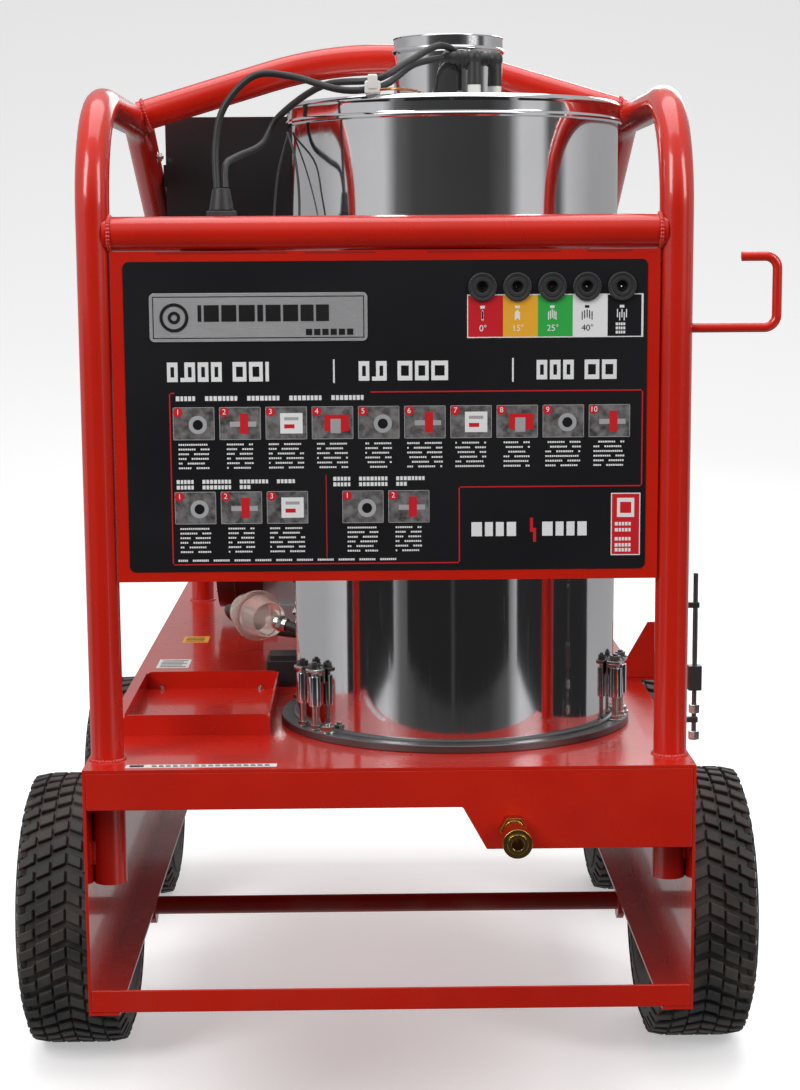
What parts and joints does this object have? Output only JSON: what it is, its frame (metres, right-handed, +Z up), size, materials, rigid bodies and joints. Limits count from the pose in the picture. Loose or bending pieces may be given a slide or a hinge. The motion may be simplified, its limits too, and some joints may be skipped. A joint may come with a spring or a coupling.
{
  "type": "hot water pressure washer",
  "caption": "Skid-mounted hot-water pressure washer: wheeled folded-steel chassis, tube roll frame, upright coil boiler, engine, pump, burner and front panel.",
  "frame": {"origin": "on the ground under the centre of the bounding box", "axes": "+X to the right seen from the front panel, +Y from the front panel to the engine, +Z up"},
  "size_m": [0.875, 1.4, 1.184],
  "materials": {
    "red_paint": "glossy orange-red powder coat",
    "decal": "satin printed film",
    "nameplate": "brushed",
    "black_rubber": "matt",
    "axle_paint": "dark red paint",
    "tyre": "turf tread",
    "rim_paint": "white enamel",
    "stainless": "mirror polished",
    "steel_plate": "dull hot-rolled steel",
    "coil_steel": "dull",
    "zinc": "zinc plated",
    "ceramic": "glazed",
    "copper": "bare copper",
    "black_plastic": "moulded",
    "clear_plastic": "translucent",
    "red_plastic": "moulded",
    "black_enamel": "satin black",
    "cast_aluminium": "cast",
    "brass": "machined"
  },
  "bodies": {
    "chassis": {"deck_chassis": "red_paint", "front_skirt": "red_paint", "cross_bars": "red_paint", "side_tube_left": "red_paint", "side_tube_right": "red_paint", "top_cross_tube": "red_paint", "arch_tube": "red_paint", "front_panel": "red_paint", "panel_decal": "decal", "nameplate": "nameplate", "nozzle_grommets": "black_rubber", "hose_hook": "red_paint", "battery_tray": "red_paint", "axle_brackets": "red_paint", "front_axle": "axle_paint", "rear_axle": "axle_paint", "boiler_flange": "steel_plate", "boiler_body": "stainless", "boiler_lid": "stainless", "chimney": "stainless", "heating_coil": "coil_steel", "boiler_clamps": "zinc", "electrodes": "ceramic", "ignition_cables": "black_rubber", "ground_wire": "copper", "cable_fittings": "black_rubber", "transformer_box": "black_plastic", "deck_module": "black_plastic", "fuel_filter": "clear_plastic", "hoses": "black_rubber", "fuel_tank": "black_plastic", "burner_housing": "black_enamel", "engine_block": "cast_aluminium", "engine_shroud": "black_enamel", "engine_tank": "black_enamel", "muffler": "zinc", "air_filter": "black_plastic", "pump_body": "cast_aluminium", "control_box": "black_enamel", "coupler_body": "brass", "drain_fitting": "brass", "side_bracket": "red_paint"},
    "wheel_front_left": {"tyre_front_left": "tyre", "rim_front_left": "rim_paint"},
    "wheel_front_right": {"tyre_front_right": "tyre", "rim_front_right": "rim_paint"},
    "wheel_rear_left": {"tyre_rear_left": "tyre", "rim_rear_left": "rim_paint"},
    "wheel_rear_right": {"tyre_rear_right": "tyre", "rim_rear_right": "rim_paint"},
    "crank": {"crankshaft": "zinc"},
    "starter": {"recoil_handle": "black_plastic"},
    "tank_cap": {"engine_tank_cap": "zinc"},
    "diesel_cap": {"fuel_cap": "red_plastic"},
    "throttle": {"throttle_lever": "zinc"},
    "unloader": {"unloader_knob": "red_plastic"},
    "thermostat": {"thermostat_knob": "black_plastic"},
    "burner_switch": {"rocker_switch": "red_plastic"},
    "blower": {"blower_wheel": "zinc"},
    "collar": {"coupler_collar": "brass"}
  },
  "joints": [
    {"name": "wheel_front_left_spin", "type": "hinge", "parent": "chassis", "child": "wheel_front_left", "pos_m": [-0.3745, -0.121, 0.165], "axis": [1, 0, 0], "continuous": true},
    {"name": "wheel_front_right_spin", "type": "hinge", "parent": "chassis", "child": "wheel_front_right", "pos_m": [0.3745, -0.121, 0.165], "axis": [1, 0, 0], "continuous": true},
    {"name": "wheel_rear_left_spin", "type": "hinge", "parent": "chassis", "child": "wheel_rear_left", "pos_m": [-0.3745, 0.52, 0.165], "axis": [1, 0, 0], "continuous": true},
    {"name": "wheel_rear_right_spin", "type": "hinge", "parent": "chassis", "child": "wheel_rear_right", "pos_m": [0.3745, 0.52, 0.165], "axis": [1, 0, 0], "continuous": true},
    {"name": "engine_spin", "type": "hinge", "parent": "chassis", "child": "crank", "pos_m": [0, 0.33, 0.574], "axis": [1, 0, 0], "continuous": true},
    {"name": "blower_spin", "type": "hinge", "parent": "chassis", "child": "blower", "pos_m": [-0.018, -0.11, 0.549], "axis": [1, 0, 0], "continuous": true},
    {"name": "starter_pull", "type": "slide", "parent": "chassis", "child": "starter", "axis": [0, -1, 0], "range_m": [0, 0.15], "stiffness_N_per_m": 60},
    {"name": "tank_cap_turn", "type": "hinge", "parent": "chassis", "child": "tank_cap", "pos_m": [-0.055, 0.385, 0.876], "axis": [0, 0, 1], "range_deg": [0, 90]},
    {"name": "diesel_cap_turn", "type": "hinge", "parent": "chassis", "child": "diesel_cap", "pos_m": [0.152, -0.055, 0.7], "axis": [0, 0, 1], "range_deg": [0, 90]},
    {"name": "throttle_swing", "type": "hinge", "parent": "chassis", "child": "throttle", "pos_m": [-0.135, 0.415, 0.594], "axis": [0, 1, 0], "range_deg": [-25, 25]},
    {"name": "unloader_turn", "type": "hinge", "parent": "chassis", "child": "unloader", "pos_m": [0.246, 0.33, 0.69], "axis": [0, 0, 1], "range_deg": [-180, 180]},
    {"name": "thermostat_turn", "type": "hinge", "parent": "chassis", "child": "thermostat", "pos_m": [-0.12, 0.03, 1.07174], "axis": [0, 0.6022, 0.7984], "range_deg": [-270, 0]},
    {"name": "burner_switch_rock", "type": "hinge", "parent": "chassis", "child": "burner_switch", "pos_m": [0.06, 0.0288, 1.07014], "axis": [1, 0, 0], "range_deg": [-12, 0]},
    {"name": "collar_slide", "type": "slide", "parent": "chassis", "child": "collar", "axis": [0, 1, 0], "range_m": [0, 0.005], "stiffness_N_per_m": 400}
  ]
}
